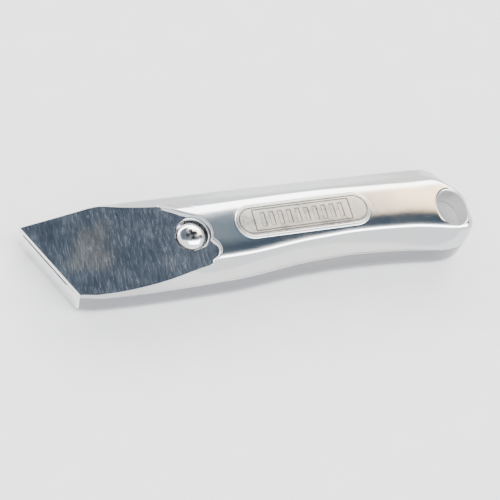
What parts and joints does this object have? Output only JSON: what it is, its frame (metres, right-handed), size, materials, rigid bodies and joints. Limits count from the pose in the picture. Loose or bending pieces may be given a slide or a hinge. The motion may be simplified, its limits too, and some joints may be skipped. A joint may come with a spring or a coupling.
{
  "type": "skiving knife",
  "caption": "Short metal-bodied hand knife with a skew nose: two cast half shells closed by one cross-recess screw, a blade between them, spares in the handle and a hanging hole.",
  "frame": {"origin": "centre of the footprint, on the flat back face of the back shell", "axes": "+X runs from the nose to the tail, +Y across to the spine, +Z out of the front face, away from the back it rests on"},
  "size_m": [0.1601, 0.0353, 0.0186],
  "materials": {
    "cast_alloy_back": "polished die-cast light alloy",
    "cast_alloy_front": "polished die-cast light alloy, nose flat linished",
    "plated_screw": "bright zinc plated",
    "washer_steel": "plain",
    "insert_brass": "turned",
    "blade_steel": "ground",
    "spare_blade_steel": "ground, lightly oiled"
  },
  "bodies": {
    "back_body": {"back_shell": "cast_alloy_back", "threaded_insert": "insert_brass"},
    "front_body": {"front_shell": "cast_alloy_front"},
    "washer_body": {"lock_washer": "washer_steel"},
    "screw_body": {"clamp_screw": "plated_screw"},
    "blade_body": {"blade": "blade_steel"},
    "spares_body": {"spare_blade_1": "spare_blade_steel", "spare_blade_2": "spare_blade_steel", "spare_blade_3": "spare_blade_steel"}
  },
  "joints": [
    {"name": "front_lift", "type": "slide", "parent": "back_body", "child": "front_body", "axis": [0, 0, 1], "range_m": [0, 0.03]},
    {"name": "screw_lift", "type": "slide", "parent": "front_body", "child": "washer_body", "axis": [0, 0, 1], "range_m": [0, 0.006]},
    {"name": "screw_turn", "type": "hinge", "parent": "washer_body", "child": "screw_body", "pos_m": [-0.0249, -0.00075, 0.0145], "axis": [0, 0, 1], "range_deg": [0, 2700]},
    {"name": "blade_slide", "type": "slide", "parent": "back_body", "child": "blade_body", "axis": [-1, 0, 0], "range_m": [0, 0.02]},
    {"name": "spares_shift", "type": "slide", "parent": "back_body", "child": "spares_body", "axis": [1, 0, 0], "range_m": [-0.001, 0.002]}
  ],
  "couplings": [
    {"joint": "screw_turn", "follows": "screw_lift", "rad_per_m": 7854}
  ]
}
